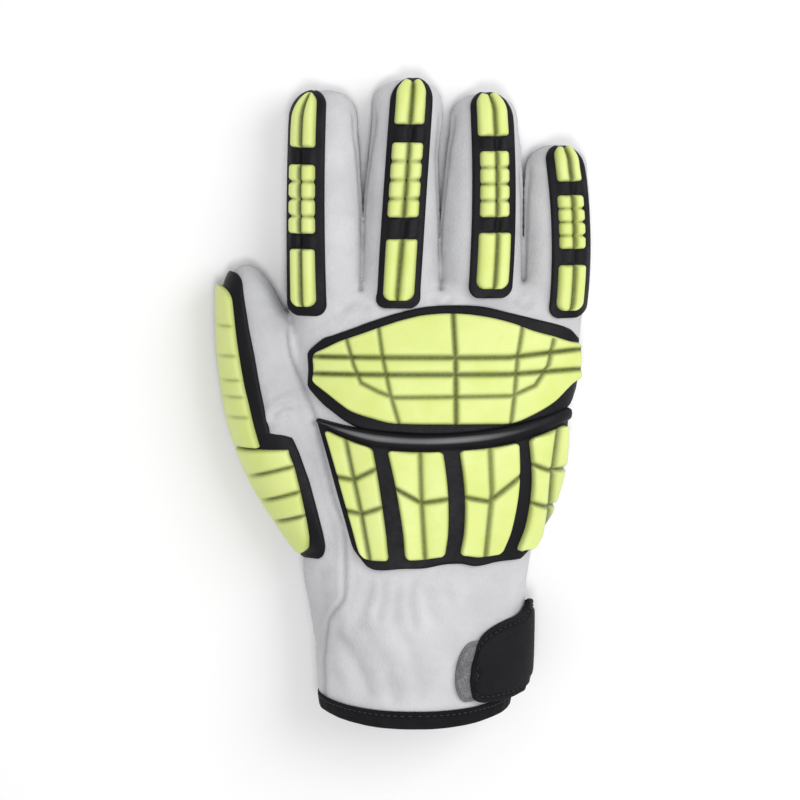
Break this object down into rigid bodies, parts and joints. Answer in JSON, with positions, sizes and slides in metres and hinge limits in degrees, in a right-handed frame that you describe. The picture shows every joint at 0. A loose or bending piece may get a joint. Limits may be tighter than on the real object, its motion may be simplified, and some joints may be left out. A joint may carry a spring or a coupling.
{
  "type": "protective glove",
  "caption": "Right-hand leather work glove with raised rubber impact guards over fingers, thumb, knuckles and back, and a strapped wrist.",
  "frame": {"origin": "centre of the bounding box in plan, on the surface that the glove lies on", "axes": "+Y from the cuff to the fingertips, +Z from the palm to the back of the hand, thumb towards -X"},
  "size_m": [0.1536, 0.2602, 0.0475],
  "materials": {
    "leather": "light grey grain leather, matt, fine pores",
    "black_rubber": "moulded thermoplastic rubber, satin",
    "yellow_rubber": "high visibility yellow thermoplastic rubber, satin",
    "black_binding": "woven black edging tape",
    "black_tab": "black backed strap with a stitched border",
    "grey_loop": "grey brushed loop tape"
  },
  "bodies": {
    "root": {"back_leather": "leather", "palm_leather": "leather", "thumb_back": "leather", "thumb_front": "leather", "fourchette_index_middle": "leather", "fourchette_middle_ring": "leather", "fourchette_ring_little": "leather", "palm_patch": "leather", "index_base": "black_rubber", "middle_base": "black_rubber", "ring_base": "black_rubber", "little_base": "black_rubber", "knuckle_base": "black_rubber", "hand_base": "black_rubber", "thumb_base": "black_rubber", "index_foot_block": "yellow_rubber", "index_middle_block": "yellow_rubber", "index_tip_block": "yellow_rubber", "middle_foot_block": "yellow_rubber", "middle_middle_block": "yellow_rubber", "middle_tip_block": "yellow_rubber", "ring_foot_block": "yellow_rubber", "ring_middle_block": "yellow_rubber", "ring_tip_block": "yellow_rubber", "little_foot_block": "yellow_rubber", "little_middle_block": "yellow_rubber", "little_tip_block": "yellow_rubber", "knuckle_plate": "yellow_rubber", "hand_panel_1": "yellow_rubber", "hand_panel_2": "yellow_rubber", "hand_panel_3": "yellow_rubber", "hand_panel_4": "yellow_rubber", "thumb_heel_block": "yellow_rubber", "thumb_side_block": "yellow_rubber", "cuff_binding": "black_binding", "wrist_tab": "black_tab", "loop_patch": "grey_loop"}
  },
  "joints": []
}
